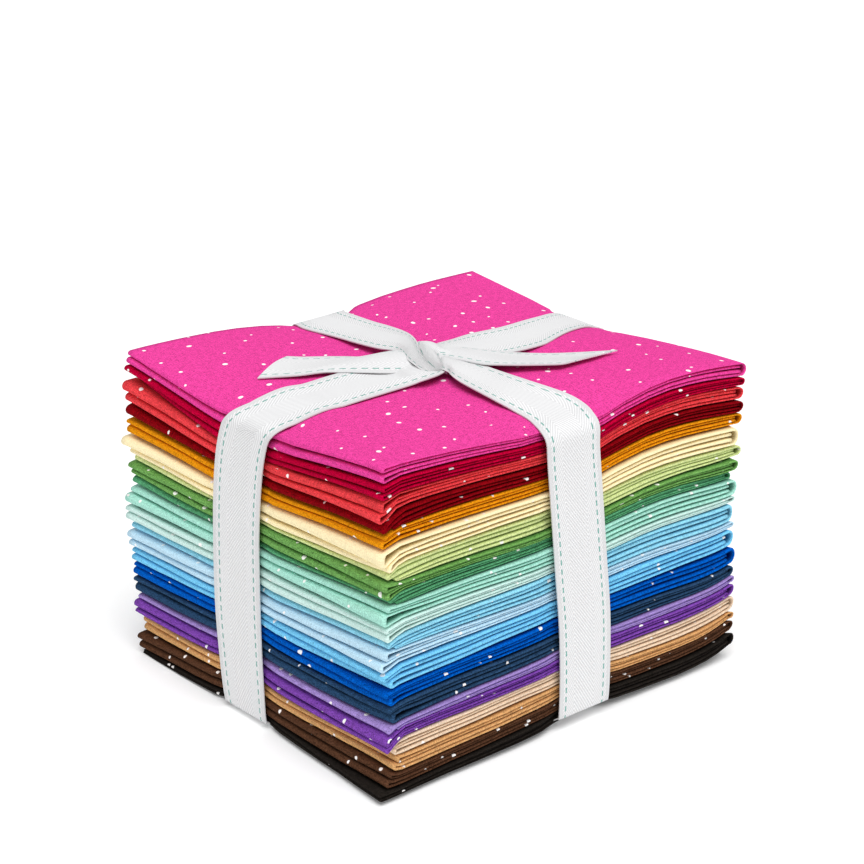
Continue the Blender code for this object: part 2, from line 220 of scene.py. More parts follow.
def off_line(line, s, sideways):
    """How far beside the pressed width of a ribbon a point lies."""
    middle = line.at_knot + line.further * np.clip(np.abs(s - line.knot) / line.to_edge, 0, 1) ** 1.5
    return np.clip(np.abs(sideways - middle) - HALF_PRESSED, 0, None)


def beside_ribbons(x, y):
    """From 0 under the ribbons to 1 in the middle of the four open fields."""
    off_x, off_y = off_line(ACROSS_LINE, y, x), off_line(ALONG_LINE, x, y)
    return (1 - np.exp(-off_x / FIELD_FADE)) * (1 - np.exp(-off_y / FIELD_FADE))


def level(x, y, edges, inside):
    """Height of the stack's top or bottom, from that of its four edges and of its inside."""
    sides = [lambda s, side=side: edge_height(edges[side], s, *SIDE_ENDS[side]) for side in SIDE_ENDS]
    return from_sides(x, y, inside, *sides, EDGE_FADE)


# A soft crease of the top cloths, from one place to another, in millimetres. A negative height is a
# trough.
Crease = namedtuple("Crease", "start_x start_y end_x end_y height width")
CREASES = [Crease(*row) for row in (
    (-17, -22, -6, -44, -0.9, 2.6),
    (-20, -24, -30, -46, 0.5, 4.0),
    (-12, -27, -20, -52, 0.6, 3.2),
    (-27, 8, -44, 40, -0.5, 4.5),
    (-22, 12, -26, 44, 0.5, 4.0),
    (10, 12, 34, 40, -0.5, 4.5),
    (12, -24, 44, -44, -0.6, 4.0),
    (8, -30, 22, -54, 0.5, 3.5),
    (24, -20, 58, -24, 0.4, 4.5),
)]


def creased(x, y):
    """How far the creases raise the top at x, y."""
    raised = np.zeros_like(x)
    for crease in CREASES:
        run_x, run_y = crease.end_x - crease.start_x, crease.end_y - crease.start_y
        long = math.hypot(run_x, run_y)
        along = ((x - crease.start_x) * run_x + (y - crease.start_y) * run_y) / long ** 2
        aside = ((x - crease.start_x) * run_y - (y - crease.start_y) * run_x) / long
        fades = np.clip(1 - np.abs(2 * along - 1), 0, 1) ** 0.7
        raised = raised + crease.height * fades * np.exp(-(aside / crease.width) ** 2)
    return raised


def stack_top(x, y):
    plain = level(x, y, TOP_EDGES, lambda a, b: PLATEAU + FIELD_RISE * beside_ribbons(a, b))
    return plain + creased(x, y)


def stack_bottom(x, y):
    plain = level(x, y, BOTTOM_EDGES, lambda a, b: UNDERSIDE - FIELD_DROP * beside_ribbons(a, b))
    return plain + CORNER_CURL * np.exp(-np.hypot(x - RIGHT, y - NEAR) / CURL_FADE)


def hats(s, places):
    """Weights of the named places for a value at s between them: they add up to 1."""
    return np.stack([np.interp(s, places, row) for row in np.eye(len(places))])


def part_of_height(*columns):
    """The quarters' parts of the height at some places, from their columns in the table."""
    table = np.array([[getattr(q, column) for column in columns] for q in QUARTERS])
    return table / table.sum(axis=0)


EVEN_PART = 1 / len(QUARTERS)
LEFT_PARTS = part_of_height("corner", "tie_near", "tie_far", "far_end")
LEFT_PLACES = (NEAR, -9, 16, FAR)
NEAR_PARTS = part_of_height("corner", "by_corner", "tie_left", "tie_right", "right_end")
NEAR_PLACES = (LEFT, LEFT + 5, -10, 11, RIGHT)
HIDDEN_RANGE = (0.7, 1.3)
chance = random.Random(7)
HIDDEN_PARTS = np.array([[chance.uniform(*HIDDEN_RANGE) for place in range(3)] for q in QUARTERS])
HIDDEN_PARTS = HIDDEN_PARTS / HIDDEN_PARTS.sum(axis=0)
HIDDEN_SPAN = 35        # how far from a corner that shows the parts of a hidden face take over


def height_parts(x, y):
    """Every quarter's part of the stack's height at x, y: the first axis is the quarters'."""
    def mix(table, weights):
        return np.tensordot(table, weights, axes=1)

    back = np.column_stack([LEFT_PARTS[:, -1], HIDDEN_PARTS[:, 0], HIDDEN_PARTS[:, 1]])
    end = np.column_stack([NEAR_PARTS[:, -1], HIDDEN_PARTS[:, 2], HIDDEN_PARTS[:, 1]])
    return from_sides(
        x, y, lambda a, b: np.full((len(QUARTERS),) + a.shape, EVEN_PART),
        lambda s: mix(LEFT_PARTS, hats(s, LEFT_PLACES)),
        lambda s: mix(NEAR_PARTS, hats(s, NEAR_PLACES)),
        lambda s: mix(end, hats(s, (NEAR, NEAR + HIDDEN_SPAN, FAR))),
        lambda s: mix(back, hats(s, (LEFT, LEFT + HIDDEN_SPAN, RIGHT))),
        SHARE_FADE,
    )


WAVES = (1, 2, 3, 5)    # of a wandering line, in its span
WAVES_HEIGHT = 1.6      # about how high they add up


def wander(seed, s, size, span):
    """A softly wandering line: a few waves of random phase, about size high."""
    phases = random.Random(seed)
    return size * sum(
        np.sin(2 * PI * waves * s / span + phases.uniform(0, 2 * PI)) / waves for waves in WAVES
    ) / WAVES_HEIGHT


# ----- One folded quarter

# The strip's four runs from the bottom up, whether a run's outer layer is its upper one, and how far it
# falls short of the near and of the far edge.
BOTTOM_RUN, LAST_END, FIRST_END, TOP_RUN = range(4)
UPWARDS = np.array([-1, 1, -1, 1])
NEAR_SHORT = np.array([0.3, 0.2, 0.5, 0.0])
FAR_SHORT = np.array([0.0, 0.5, 0.3, 0.2])

RUN_STEPS = 20
FOLD_STEPS = 8
CENTRE_FOLD_STEPS = 12
WIDTH_STEPS = 16
INNER_WIDTH_STEPS = 9
EDGE_FOLD_STEPS = 7
SMALL_FOLD_STEPS = 3
EDGE_ROUND = 0.42       # how far the outer layer of a long edge's fold stands out
SMALL_ROUND = 0.14      # the same of the inner folds
INNER_INSET = 0.3       # how far the inner layers lie behind the near edge
CUT_EDGE = 0.76         # how far across the innermost layer reaches
SEAM = 0.50             # how much a run thins at the faces
SEAM_FADE = 4.0         # how far in from the faces it thins
TOP_EDGE_THIN = 0.55    # the topmost run rounds over into the top, so its own edge is thin
GAP_UNDER = 0.04        # the part of a quarter's height left open under it at a face, and in all
GAP_IN_ALL = 0.08
LEFT_FADE = 12          # how far in from the left face its folds' own heights tell
MOUTH_LONG = 8          # how far a mouth reaches in, and how far along the face
MOUTH_WIDE = 12
MOUTH_AT_FAR = 0.3      # a mouth at the far end, as a part of that at the front corner
MOUTH_LIMIT = 0.55      # the most of its fold that a mouth may take up

# How much things wander, and over what length: the runs' thicknesses, their seams, a fold's edge, a long
# edge, and by how much the strip's tucked ends fall short of the centre fold.
RUN_WANDER = (0.30, 150)
SEAM_WANDER = (0.45, 110)
FOLD_WANDER = (0.25, 70)
EDGE_WANDER = (0.3, 80)
TUCKED_WANDER = (1.0, 90)
TUCKED_SHORT = 0.8

# How far a centre fold may stand out at the far end, how far a quarter's long edges may lie inside the
# stack's, and how much wider or narrower a centre fold may be: a least and a most value.
HIDDEN_REACH = (-1.2, 0.6)
NEAR_INSET = (-0.2, 0.8)
FAR_INSET = (0.0, 1.2)
CENTRE_ROUND_RANGE = (0.7, 1.15)

BASE_ROUND = 0.35       # a left fold's radius: this and a share of its height
SHARE_ROUND = 0.28
LEFT_PACKED = 2         # the less, the closer in its inner layers turn
CENTRE_ROUND = 0.7      # the same of a centre fold
CENTRE_SHARE_ROUND = 0.2
CENTRE_PACKED = 12
END_FADE = 22.0         # how far along from the left face a fold's reach tells at the far edge

# More of the grid's lines beside the ribbons, where the cloth bends, as shares of a face's length.
BESIDE_NEAR_RIBBON = (0.406, 0.453, 0.478, 0.587, 0.605, 0.627)
BESIDE_LEFT_RIBBON = (0.4315, 0.617, 0.641)

# How the ribbon pulls a face in, in millimetres: where it starts at the top, how far it shifts sideways
# over which height on its way down, and how deep it presses the upper edge.
Pull = namedtuple("Pull", "tie_at_top shift over press")
PULLS = {
    "left": Pull(-12.5, 8, 35, 1.6),
    "near": Pull(-12.5, 7.5, 75, 1.6),
    "right": Pull(-3.5, 0, 1, 4.5),
    "far": Pull(-8, 0, 1, 4.5),
}
PULLED_WIDTH = 21.0
SHOULDER_TALL = 9.0     # how far down the press of the upper edge reaches
FOOT = 1.8              # how deep it presses the lower edge
FOOT_TALL = 6.0
WAIST = 1.1             # how far it pulls the whole face in
PRESS_FADE = 2.5        # how far beside the ribbon its press and its waist still tell
WAIST_FADE = 4.0

# Where a point counts as deep in the folds, which the cotton darkens with painted shade, in millimetres.
NEVER_DEEP = 99
RIGHT_OPEN = 1.5        # how far in from the right face a fold's layers are still in the open
NEAR_OPEN = 0.8
FAR_OPEN = 1.0
END_LONG = 6            # the length of an end's fold
LEFT_END_DEEP = 20      # within it, how far from the long edges inner layers can't be seen
RIGHT_END_DEEP = 3
TOP_SKIN = 1.5          # what is this near to the top, and this far from the long edges, is on top
TOP_SKIN_DEEP = 4

# A column of the cloth's grid: the runs that it leaves and reaches, how far round a fold it is, and how
# far it is along the run from the left folds.
Column = namedtuple("Column", "leaves reaches turn along")

# A row: its place in the strip's four layers, from -1.5 to 1.5, its place from the near edge to the far
# one, and how far it is shifted across by a fold.
Row = namedtuple("Row", "layer across shifted")
OUTER = 1.5             # the layer that shows


def close_at_ends(steps):
    """Places from 0 to 1 that lie closer together at both ends."""
    t = np.linspace(0, 1, steps + 1)
    return 0.8 * (1 - np.cos(PI * t)) / 2 + 0.2 * t


def strip_columns():
    def run(which, places):
        return [Column(which, which, 0.0, place) for place in places]

    def fold(leaves, reaches, along, steps):
        turns = np.linspace(0, PI, steps + 1)[1:-1]
        return [Column(leaves, reaches, turn, along) for turn in turns]

    places = np.union1d(close_at_ends(RUN_STEPS), BESIDE_NEAR_RIBBON)
    return (
        run(FIRST_END, places[::-1])
        + fold(FIRST_END, TOP_RUN, 0.0, FOLD_STEPS)
        + run(TOP_RUN, places)
        + fold(TOP_RUN, BOTTOM_RUN, 1.0, CENTRE_FOLD_STEPS)
        + run(BOTTOM_RUN, places[::-1])
        + fold(BOTTOM_RUN, LAST_END, 0.0, FOLD_STEPS)
        + run(LAST_END, places)
    )


def strip_rows():
    def leg(layer, places, inset=0.0):
        return [Row(layer, place, inset) for place in places]

    wide = np.union1d(close_at_ends(WIDTH_STEPS), BESIDE_LEFT_RIBBON)
    narrow = close_at_ends(INNER_WIDTH_STEPS)
    edge_turns = np.linspace(0, PI, EDGE_FOLD_STEPS + 1)[1:-1]
    small_turns = np.linspace(0, PI, SMALL_FOLD_STEPS + 1)[1:-1]
    return (
        leg(OUTER, wide[::-1])
        + [Row(OUTER * math.cos(t), 0.0, -EDGE_ROUND * math.sin(t)) for t in edge_turns]
        + leg(-OUTER, wide)
        + [Row(-1 - 0.5 * math.cos(t), 1.0, SMALL_ROUND * math.sin(t)) for t in small_turns]
        + leg(-0.5, narrow[::-1], INNER_INSET)
        + [Row(-0.5 * math.cos(t), 0.0, INNER_INSET - SMALL_ROUND * math.sin(t)) for t in small_turns]
        + leg(0.5, narrow * CUT_EDGE, INNER_INSET)
    )


COLUMNS = strip_columns()
ROWS = strip_rows()


LEFT_TIE = (-9, 16)     # where the ribbon lies on a face
RIGHT_TIE = (-4, 16)


def fold_reach(y, at_near_corner, at_tie, at_far_corner, tie=LEFT_TIE):
    """How far a fold stands out along a face, from the ribbon's two sides to the face's corners."""
    tie_start, tie_end = tie
    to_near = np.clip((tie_start - y) / (tie_start - NEAR), 0, 1) ** 1.5
    to_far = np.clip((y - tie_end) / (FAR - tie_end), 0, 1) ** 1.5
    return at_tie + to_near * (at_near_corner - at_tie) + to_far * (at_far_corner - at_tie)


def pulled_in(side, s, z, top, bottom):
    """How far the ribbon pulls a side's face in, at the place s along it and the height z."""
    pull = PULLS[side]
    tie_start = pull.tie_at_top + pull.shift * np.clip((top - z) / pull.over, 0, 1)
    off = np.clip(np.maximum(tie_start - s, s - tie_start - PULLED_WIDTH), 0, None)
    shoulder = pull.press * np.clip(1 - (top - z) / SHOULDER_TALL, 0, 1) ** 2
    foot = FOOT * np.clip(1 - (z - bottom) / FOOT_TALL, 0, 1) ** 2
    return (shoulder + foot) * np.exp(-off / PRESS_FADE) + WAIST * np.exp(-off / WAIST_FADE)


def run_levels(number, x, y):
    """The heights of the undersides of a quarter's four runs, the runs' thicknesses, and how much of its
    thickness a run fills: less at the faces, where a seam opens between two runs.
    """
    folds = FOLDS[number]
    parts = height_parts(x, y)
    top, bottom = stack_top(x, y), stack_bottom(x, y)
    at_face = np.minimum(np.minimum(x - LEFT, RIGHT - x), np.minimum(y - NEAR, FAR - y))
    at_face = np.exp(-np.clip(at_face, 0, None) / SEAM_FADE)
    tall = (top - bottom) * parts[number]
    under = top - (top - bottom) * parts[: number + 1].sum(axis=0) + tall * GAP_UNDER * at_face
    tall = tall * (1 - GAP_IN_ALL * at_face)
    at_left = np.exp(-(x - LEFT) / LEFT_FADE)
    share = 0.5 + (folds.share - 0.5) * at_left
    in_corner = np.exp(-(y - NEAR) / MOUTH_WIDE) + MOUTH_AT_FAR * np.exp(-(FAR - y) / MOUTH_WIDE)
    in_corner = np.exp(-(x - LEFT) / MOUTH_LONG) * in_corner
    upper_gap = np.minimum(folds.upper_mouth * in_corner, MOUTH_LIMIT * share * tall)
    lower_gap = np.minimum(folds.lower_mouth * in_corner, MOUTH_LIMIT * (1 - share) * tall)
    uneven = [1 + wander(number * 10 + run, x + y, *RUN_WANDER) for run in range(4)]
    if number == 0:
        uneven[TOP_RUN] = uneven[TOP_RUN] * TOP_EDGE_THIN
    lower = ((1 - share) * tall - lower_gap) / (uneven[0] + uneven[1])
    upper = (share * tall - upper_gap) / (uneven[2] + uneven[3])
    thick = np.stack([lower * uneven[0], lower * uneven[1], upper * uneven[2], upper * uneven[3]])
    start = np.stack([
        under,
        under + thick[0] + lower_gap,
        under + thick[0] + lower_gap + thick[1],
        under + thick[0] + lower_gap + thick[1] + thick[2] + upper_gap,
    ])
    uneven_seams = [1 + wander(number * 10 + run + 5, x + y, *SEAM_WANDER) for run in range(4)]
    filled = np.stack([1 - SEAM * at_face * seam for seam in uneven_seams])
    return start, thick, filled


def folded_points(number):
    """Where the points of a quarter's cloth lie once it is folded, and how deep in the folds they are,
    which sets their painted shade.

    The first axis of each result is the columns along the strip, the second one the rows across it.
    """
    folds = FOLDS[number]
    leaves, reaches, turn, along = (np.array(values)[:, None] for values in zip(*COLUMNS))
    layer, across, shifted = (np.array(values)[None, :] for values in zip(*ROWS))
    turned = (1 - np.cos(turn)) / 2
    ones = np.ones((len(COLUMNS), len(ROWS)))

    even_x = LEFT + (RIGHT - LEFT) * along * ones
    even_y = NEAR + (FAR - NEAR) * across * ones
    parts = height_parts(even_x, even_y)
    top, bottom = stack_top(even_x, even_y), stack_bottom(even_x, even_y)
    even_z = top - (top - bottom) * (parts[:number].sum(axis=0) + parts[number] / 2)
    fold_tall = (top - bottom) * parts[number]
    pull_left, pull_right = (pulled_in(side, even_y, even_z, top, bottom) for side in ("left", "right"))
    pull_near, pull_far = (pulled_in(side, even_x, even_z, top, bottom) for side in ("near", "far"))

    # the folds at both ends of the strip
    upper = LEFT - fold_reach(even_y, folds.corner_upper, folds.tie_upper, folds.far_upper) + pull_left
    lower = LEFT - fold_reach(even_y, folds.corner_lower, folds.tie_lower, folds.far_lower) + pull_left
    upper = upper + wander(number * 7 + 1, even_y, *FOLD_WANDER)
    lower = lower + wander(number * 7 + 2, even_y, *FOLD_WANDER)
    hidden_reach = random.Random(number).uniform(*HIDDEN_REACH)
    centre = RIGHT + fold_reach(even_y, folds.centre_fold, 0.0, hidden_reach, RIGHT_TIE) - pull_right
    centre = centre + wander(number * 7 + 3, even_y, *FOLD_WANDER)
    upper_round = BASE_ROUND + SHARE_ROUND * folds.share * fold_tall
    lower_round = BASE_ROUND + SHARE_ROUND * (1 - folds.share) * fold_tall
    centre_round = CENTRE_ROUND + CENTRE_SHARE_ROUND * fold_tall
    centre_round = centre_round * random.Random(number + 20).uniform(*CENTRE_ROUND_RANGE)
    is_upper = np.isin(leaves, (TOP_RUN, FIRST_END)) & np.isin(reaches, (TOP_RUN, FIRST_END))
    left_round = np.where(is_upper, upper_round, lower_round)
    left_centre = np.where(is_upper, upper, lower) + left_round
    right_centre = centre - centre_round
    tucked = np.isin(leaves, (FIRST_END, LAST_END)) & np.isin(reaches, (FIRST_END, LAST_END))
    tucked_short = TUCKED_SHORT + wander(number * 7 + 4, even_y, *TUCKED_WANDER)
    right_end = right_centre - np.where(tucked, tucked_short, 0.0)
    at_centre_fold = along > 0.5
    x = left_centre + (right_end - left_centre) * along
    left_turn = left_round * (LEFT_PACKED + layer) / (LEFT_PACKED + OUTER)
    centre_turn = centre_round * (CENTRE_PACKED + layer) / (CENTRE_PACKED + OUTER)
    x = x + np.where(at_centre_fold, centre_turn, -left_turn) * np.sin(turn)

    # the long edges
    short_near = NEAR_SHORT[leaves] * (1 - turned) + NEAR_SHORT[reaches] * turned
    short_far = FAR_SHORT[leaves] * (1 - turned) + FAR_SHORT[reaches] * turned
    near_inset = random.Random(number + 50).uniform(*NEAR_INSET)
    far_inset = random.Random(number + 80).uniform(*FAR_INSET)
    wave, other_wave = (wander(number * 7 + n, x, *EDGE_WANDER) for n in (5, 6))
    near_edge = NEAR + near_inset + short_near + (wave * (1 - turned) + other_wave * turned) + pull_near
    at_left_end = np.exp(-np.clip(x - LEFT, 0, None) / END_FADE)
    reach_far = np.where(is_upper, folds.far_upper, folds.far_lower) * np.where(at_centre_fold, 0, 1)
    far_edge = FAR - (far_inset + short_far) * (1 - at_left_end) + reach_far * at_left_end - pull_far
    far_edge = far_edge + other_wave
    y = near_edge + EDGE_ROUND + across * (far_edge - near_edge - EDGE_ROUND) + shifted

    on_stack_x = np.clip(x, LEFT, RIGHT)
    on_stack_y = np.clip(y, NEAR, FAR)
    start, thick, filled = run_levels(number, on_stack_x, on_stack_y)
    columns, rows = np.indices(x.shape)

    def height(run):
        here = run * np.ones_like(columns), columns, rows
        return start[here] + thick[here] * (2 + UPWARDS[run] * layer * filled[here]) / LAYERS

    z = height(leaves) * (1 - turned) + height(reaches) * turned

    # how deep a point lies behind the edges that stand out beside and above it; the cotton paints shade
    # by this depth
    above = FOLDS[max(number - 1, 0)]
    edge_above = LEFT - fold_reach(even_y, above.corner_lower, above.tie_lower, above.far_lower)
    edge_above = np.where(is_upper, edge_above + pull_left, upper) + left_round
    from_left = x - np.maximum(left_centre, edge_above)
    from_right = np.where(tucked, NEVER_DEEP, np.minimum(right_centre, RIGHT - RIGHT_OPEN) - x)
    from_near = y - np.maximum(near_edge + EDGE_ROUND, NEAR + NEAR_OPEN + pull_near)
    from_far = np.minimum(far_edge, FAR - FAR_OPEN - pull_far) - y
    depth = np.minimum(from_near, from_far)
    depth = np.where(layer > 1, np.minimum(depth, np.minimum(from_left, from_right)), depth)
    # inside an end's fold, far from the long edges, no layer but the outer one can be seen
    in_left_end = (depth > LEFT_END_DEEP) & (x < LEFT + END_LONG)
    in_right_end = (depth > RIGHT_END_DEEP) & (x > RIGHT - END_LONG)
    depth = np.where((layer <= 1) & (in_left_end | in_right_end), 0.0, depth)
    near_top = (z > stack_top(on_stack_x, on_stack_y) - TOP_SKIN) & (depth > TOP_SKIN_DEEP)
    on_top = (number == 0) & ((leaves == TOP_RUN) & (reaches == TOP_RUN) | near_top)
    depth = np.where(on_top, 0.0, np.clip(depth, 0, None))
    return x, y, z, depth


def paces(points):
    """How far along a line of points each of them is."""
    steps = np.sqrt(sum(np.diff(axis) ** 2 for axis in points))
    return np.concatenate([[0], np.cumsum(steps)])


def cloth_grid(name, x, y, z, cut_along, cut_across, thickness, depth=None):
    """A sheet of cloth from a grid primitive, with its flat size as its UV map.

    x, y, z and its sizes are in millimetres. depth says how deep its points lie in the folds, for the
    painted shade there.
    """
    columns, rows = x.shape
    bpy.ops.mesh.primitive_grid_add(x_subdivisions=columns - 1, y_subdivisions=rows - 1, size=2)
    piece = bpy.context.object
    piece.name = name
    mesh = piece.data
    mesh.name = name
    flat = np.empty(len(mesh.vertices) * 3)
    mesh.vertices.foreach_get("co", flat)
    flat = flat.reshape(-1, 3)
    column = np.rint((flat[:, 0] + 1) / 2 * (columns - 1)).astype(int)
    row = np.rint((flat[:, 1] + 1) / 2 * (rows - 1)).astype(int)
    placed = np.stack([x[column, row], y[column, row], z[column, row]], axis=1) * MM
    mesh.vertices.foreach_set("co", placed.ravel())
    measured_row, measured_column = rows // 8, columns // 2
    along = paces([axis[:, measured_row] for axis in (x, y, z)])
    across = paces([axis[measured_column, :] for axis in (x, y, z)])
    along = along / along[-1] * cut_along * MM
    across = across / across[-1] * cut_across * MM
    corner = np.empty(len(mesh.loops), dtype=int)
    mesh.loops.foreach_get("vertex_index", corner)
    uv = np.stack([along[column[corner]], across[row[corner]]], axis=1)
    mesh.uv_layers.active.data.foreach_set("uv", uv.ravel())
    if depth is not None:
        # painted shade: the cotton darkens the cloth by this depth in the folds
        deep = mesh.attributes.new("painted_shade_depth", "FLOAT", "POINT")
        deep.data.foreach_set("value", depth[column, row])
    mesh.update()
    thicken = piece.modifiers.new("cloth", "SOLIDIFY")
    thicken.thickness = thickness * MM
    thicken.offset = 0
    bpy.ops.object.modifier_apply(modifier=thicken.name)
    bpy.ops.object.shade_smooth()
    return piece


# ----- Materials

def linear(hex_colour):
    """The linear colour of a screen colour written in hex."""
    values = [int(hex_colour[n:n + 2], 16) / 255 for n in (0, 2, 4)]
    return [v / 12.92 if v <= 0.04045 else ((v + 0.055) / 1.055) ** 2.4 for v in values] + [1.0]


class Finish:
    """A material under construction, with short calls to add and join its nodes."""

    def __init__(self, name, roughness, shine):
        self.material = bpy.data.materials.new(name)
        self.material.use_nodes = True
        self.nodes = self.material.node_tree.nodes
        self.links = self.material.node_tree.links
        self.shader = self.nodes["Principled BSDF"]
        self.shader.inputs["Roughness"].default_value = roughness
        self.shader.inputs["Specular IOR Level"].default_value = shine

    def add(self, kind, settings=(), **sockets):
        node = self.nodes.new(kind)
        for key, value in dict(settings).items():
            setattr(node, key, value)
        for key, value in sockets.items():
            self.feed(node.inputs[key.replace("_", " ")], value)
        return node

    def feed(self, socket, value):
        if isinstance(value, bpy.types.NodeSocket):
            self.links.new(value, socket)
        else:
            socket.default_value = value

    def operate(self, kind, operation, values):
        node = self.nodes.new(kind)
        node.operation = operation
        for socket, value in zip(node.inputs, values):
            self.feed(socket, value)
        return node

    def math(self, operation, *values, clamp=False):
        node = self.operate("ShaderNodeMath", operation, values)
        node.use_clamp = clamp
        return node.outputs[0]

    def vector(self, operation, *values, result="Vector"):
        return self.operate("ShaderNodeVectorMath", operation, values).outputs[result]

    def noise(self, place, scale):
        return self.add("ShaderNodeTexNoise", {"noise_dimensions": "2D"}, Vector=place, Scale=scale,
                        Detail=2.0, Roughness=0.6).outputs["Fac"]

    def distance(self, place, other):
        return self.math("ABSOLUTE", self.math("SUBTRACT", place, other))

    def mix(self, factor, first, second, blend="MIX"):
        node = self.nodes.new("ShaderNodeMix")
        node.data_type = "RGBA"
        node.blend_type = blend
        self.feed(node.inputs["Factor"], factor)
        self.feed(node.inputs[6], first)
        self.feed(node.inputs[7], second)
        return node.outputs[2]


FLECK_CELL = 0.0096     # in metres, as the UV map is
FLECK_BARE = 0.22       # the part of the cells without a fleck
FLECK_SMALL = 0.05      # the least radius of a fleck, and how much more it may be, in cells
FLECK_MORE = 0.045
FLECK_OVAL = 1.25       # its length to its width
FLECK_ROUGH = 0.0004    # how ragged its outline is
FLECK_SHARP = 60.0


def flecks(finish, uv, seed):
    """A mask of small white ovals, strewn at random: most cells of a jittered grid hold one."""
    rough = finish.add("ShaderNodeTexNoise", Vector=uv, Scale=900.0, Detail=1.0).outputs["Color"]
    rough = finish.vector("SUBTRACT", rough, (0.5, 0.5, 0.5))
    uneven = finish.vector("MULTIPLY", rough, (FLECK_ROUGH, FLECK_ROUGH, 0.0))
    place = finish.vector("ADD", finish.vector("ADD", uv, uneven), (seed * 0.137, seed * 0.071, 0.0))
    cells = finish.add("ShaderNodeTexVoronoi", {"voronoi_dimensions": "2D"}, Vector=place,
                       Scale=1 / FLECK_CELL, Randomness=0.85)
    lot = finish.add("ShaderNodeSeparateColor", Color=cells.outputs["Color"])
    off = finish.vector("SUBTRACT", place, cells.outputs["Position"])
    off = finish.vector("MULTIPLY", off, (1 / FLECK_CELL, 1 / FLECK_CELL, 0.0))
    turned = finish.add("ShaderNodeVectorRotate", {"rotation_type": "Z_AXIS"}, Vector=off,
                        Angle=finish.math("MULTIPLY", lot.outputs["Green"], 2 * PI)).outputs[0]
    oval = finish.vector("MULTIPLY", turned, (1.0, FLECK_OVAL, 0.0))
    distance = finish.vector("LENGTH", oval, result="Value")
    size = finish.math("POWER", lot.outputs["Red"], 2.5)
    size = finish.math("MULTIPLY_ADD", size, FLECK_MORE, FLECK_SMALL)
    present = finish.math("GREATER_THAN", lot.outputs["Blue"], FLECK_BARE)
    inside = finish.math("SUBTRACT", size, distance)
    inside = finish.math("MULTIPLY_ADD", inside, FLECK_SHARP, 0.5, clamp=True)
    return finish.math("MULTIPLY", inside, present)


THREADS = 2600.0        # how fine the cotton's noise is across its threads, and along them
ALONG_THREADS = 420.0
GRAIN = 2.3             # how strongly it varies a dark colour; a light one less
PAINTED_FOLD_SHADE = 0.55          # how bright the cloth's colour is painted deep in a fold: painted shade
OPEN_DEPTH = 0.9        # how deep in a fold the open light still tells, in millimetres


def cotton(name, hex_colour, seed):
    """Matt plain-weave cotton with white flecks, on the cloth's own flat map, with painted shade deep in
    the folds.
    """
    finish = Finish(name, roughness=0.95, shine=0.03)
    uv = finish.add("ShaderNodeUVMap", {"uv_map": "UVMap"}).outputs["UV"]
    stretches = (THREADS, ALONG_THREADS, 1.0), (ALONG_THREADS, THREADS, 1.0)
    threads = [finish.noise(finish.vector("MULTIPLY", uv, stretch), 1.0) for stretch in stretches]
    weave = finish.math("MULTIPLY", finish.math("ADD", *threads), 0.5)
    mottle = finish.noise(uv, THREADS)
    colour = linear(hex_colour)
    grain = GRAIN * (1 - sum(colour[:3]) / 3)
    tone = finish.math("MULTIPLY_ADD", finish.math("SUBTRACT", weave, 0.5), grain, 1.0)
    tone = finish.math("MULTIPLY_ADD", finish.math("SUBTRACT", mottle, 0.5), grain, tone)
    tone = finish.add("ShaderNodeCombineColor", Red=tone, Green=tone, Blue=tone).outputs[0]
    dyed = finish.mix(1.0, colour, tone, "MULTIPLY")
    flecked = finish.mix(flecks(finish, uv, seed), dyed, linear("FBF8F6"))
    # painted shade: deep in a fold the colour is painted dim and strongly coloured, as light reflected
    # from cloth to cloth would make it
    depth = finish.add("ShaderNodeAttribute", {"attribute_name": "painted_shade_depth"}).outputs["Fac"]
    in_the_open = finish.math("EXPONENT", finish.math("MULTIPLY", depth, -1 / OPEN_DEPTH))
    fold_shade_colour = [PAINTED_FOLD_SHADE * value for value in colour[:3]] + [1.0]
    shade = finish.mix(in_the_open, fold_shade_colour, (1.0, 1.0, 1.0, 1.0))
    finish.feed(finish.shader.inputs["Base Color"], finish.mix(1.0, flecked, shade, "MULTIPLY"))
    bump = finish.add("ShaderNodeBump", Height=weave, Strength=0.35, Distance=0.00008)
    finish.feed(finish.shader.inputs["Normal"], bump.outputs[0])
    return finish.material


# The ribbon's weave and stitches, in metres. Across is measured from the selvedge at V = 0.
RIBBON_MIDDLE = 0.011
WOVEN_HALF = 0.0095     # half the width that shows the twill's ridges
POINT_AT = 0.0063       # where the herringbone turns, and how far on it turns again
POINT_STEP = 0.0085
SLANT = -1.38           # how fast a ridge runs along the ribbon while it crosses it
RIDGE = 0.00138         # from ridge to ridge
STITCH_ROWS = (0.0026, 0.0190)
STITCH_HALF = 0.00027   # half a stitch's width
STITCH = 0.0030         # from stitch to stitch, and the part of it that lies on top
STITCH_ON_TOP = 0.57
STITCH_TALL = 1.5       # to a ridge's height
TWILL_WHITE = 0.68      # between the ridges, how much lighter they are, and the spread of the threads
RIDGE_LIGHTER = 0.20
TWILL_GRAIN = 0.1


